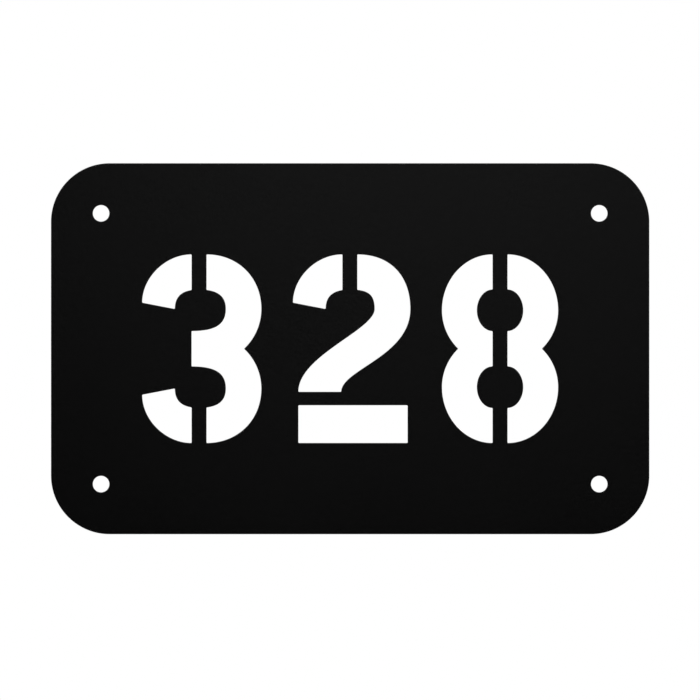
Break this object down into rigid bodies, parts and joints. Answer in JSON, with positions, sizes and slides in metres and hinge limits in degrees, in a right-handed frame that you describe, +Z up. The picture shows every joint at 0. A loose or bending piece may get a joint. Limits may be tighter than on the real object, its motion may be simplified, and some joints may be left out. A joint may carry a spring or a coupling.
{
  "type": "house number plaque",
  "caption": "Flat rounded-corner wall plaque, coated black, with stencil house numerals cut right through the plate and a plain screw hole near each corner.",
  "frame": {"origin": "middle of the back face, on the wall plane and at the centre of the screw pattern", "axes": "+X to the reader's right along the plate's length, +Y into the wall, +Z up"},
  "size_m": [0.2, 0.003, 0.124],
  "materials": {
    "black_coat": "satin black powder coat over sheet steel"
  },
  "bodies": {
    "root": {"number_plate": "black_coat"}
  },
  "joints": []
}
